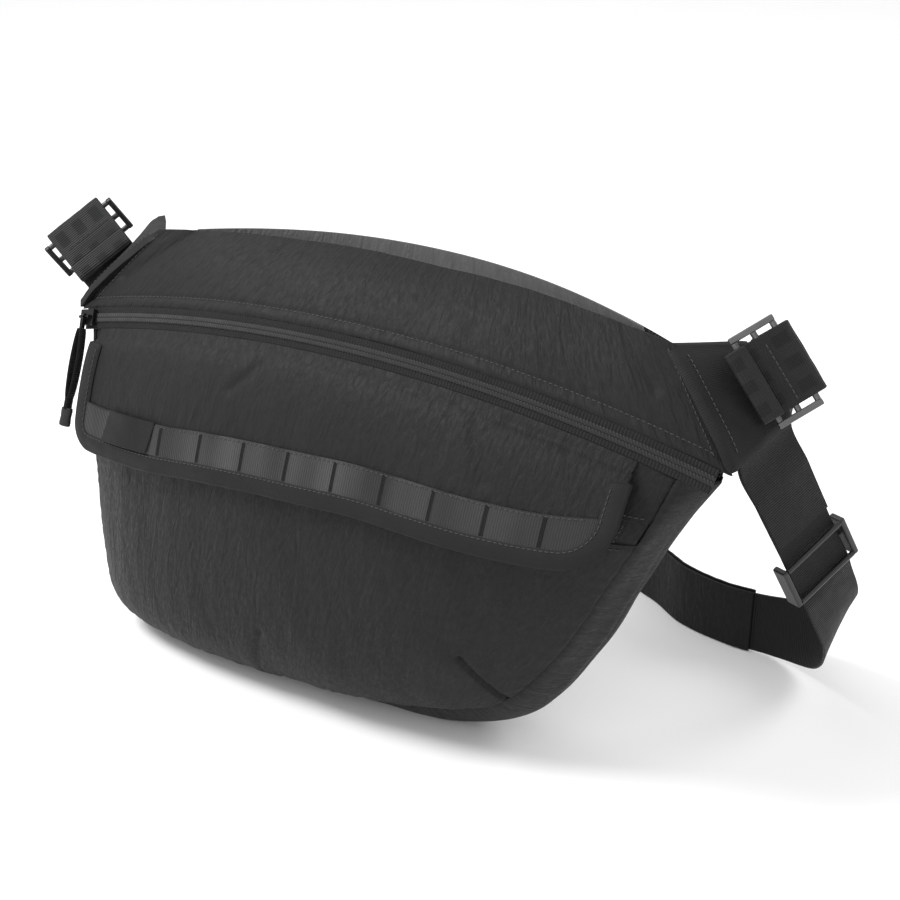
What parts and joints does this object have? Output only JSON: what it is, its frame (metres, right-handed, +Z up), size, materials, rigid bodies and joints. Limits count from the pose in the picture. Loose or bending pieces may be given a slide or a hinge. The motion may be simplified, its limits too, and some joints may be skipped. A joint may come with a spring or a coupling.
{
  "type": "sling bag",
  "caption": "Cross-body sling bag with a curved main zip, a flapped front pocket, a rear slip pocket and an adjustable webbing strap.",
  "frame": {"origin": "on the flat underside of the bag, below the middle of its main zip", "axes": "+Z up, -Y out of the front panel, +X to the right as the front is seen"},
  "size_m": [0.5118, 0.2933, 0.2694],
  "materials": {
    "shell_fabric": "crinkled woven nylon, dull sheen",
    "binding": "plain weave tape",
    "webbing": "ribbed webbing, satin",
    "thread": "sewing thread",
    "label": "smooth blank woven label",
    "air_mesh": "spacer mesh",
    "foam": "closed-cell foam",
    "grey_lining": "plain grey lining",
    "lining": "plain lining",
    "wing_fabric": "ribbed heavy fabric",
    "metal": "satin metal",
    "metal_black": "black painted metal",
    "buckle_plastic": "satin moulded plastic",
    "zip_tape": "woven zip tape",
    "zip_coil": "nylon coil",
    "pull_cord": "braided cord",
    "pull_grip": "moulded grip"
  },
  "bodies": {
    "bag": {"gusset": "shell_fabric", "front_panel_lower": "shell_fabric", "front_panel_upper": "shell_fabric", "yoke_panel": "shell_fabric", "flap_root": "shell_fabric", "pocket_zip_end_tab": "binding", "back_panel": "air_mesh", "back_foam": "foam", "rear_pocket_lining": "grey_lining", "main_lining": "lining", "front_pocket_lining": "lining", "front_seam_binding": "binding", "back_seam_binding": "binding", "wing_right": "wing_fabric", "wing_left": "wing_fabric", "tab_right": "webbing", "tab_left": "webbing", "tab_hem_right": "webbing", "tab_hem_left": "webbing", "zip_tape_upper": "zip_tape", "zip_tape_lower": "zip_tape", "zip_coil": "zip_coil", "pocket_zip_tapes": "zip_tape", "pocket_zip_coil": "zip_coil", "shoulder_strap": "webbing", "strap_return": "webbing", "strap_sleeve": "shell_fabric"},
    "zip_slider": {"zip_slider": "metal_black"},
    "zip_pull": {"zip_pull_link": "metal_black", "zip_pull_cord": "pull_cord", "zip_pull_grip": "pull_grip"},
    "pocket_slider": {"pocket_zip_slider": "metal_black"},
    "flap": {"flap_shell": "shell_fabric", "flap_binding": "binding", "flap_webbing": "webbing", "flap_bartacks": "thread", "flap_label": "label"},
    "left_buckle": {"buckle_left": "buckle_plastic"},
    "right_buckle": {"buckle_right": "metal"},
    "tri_glide": {"tri_glide": "buckle_plastic"}
  },
  "joints": [
    {"name": "main_zip_slide", "type": "hinge", "parent": "bag", "child": "zip_slider", "pos_m": [0, 0.22255, -0.55265], "axis": [0, 0.9487, 0.3162], "range_deg": [0, 29.71], "deforming": ["zip_pull_cord", "zip_pull_grip"]},
    {"name": "zip_pull_swing", "type": "hinge", "parent": "zip_slider", "child": "zip_pull", "pos_m": [-0.21031, -0.02769, 0.19968], "axis": [-1, 0, 0], "range_deg": [-3, 120]},
    {"name": "pocket_zip_slide", "type": "hinge", "parent": "bag", "child": "pocket_slider", "pos_m": [0.0084, 0.59786, -0.13981], "axis": [-0.0564, 0.4206, 0.9055], "range_deg": [0, 25.31]},
    {"name": "flap_lift", "type": "hinge", "parent": "bag", "child": "flap", "pos_m": [0, -0.0485, 0.203], "axis": [-1, 0, 0], "range_deg": [0, 150]},
    {"name": "left_buckle_swing", "type": "hinge", "parent": "bag", "child": "left_buckle", "pos_m": [-0.24951, 0.01136, 0.24025], "axis": [0.5012, 0.6472, 0.5744], "range_deg": [-6, 60]},
    {"name": "right_buckle_slide", "type": "slide", "parent": "bag", "child": "right_buckle", "axis": [0.5925, 0.6528, 0.472], "range_m": [-0.003, 0.004]},
    {"name": "tri_glide_slide", "type": "slide", "parent": "bag", "child": "tri_glide", "axis": [0.2078, 0.4375, -0.8749], "range_m": [-0.008, 0.008]}
  ]
}
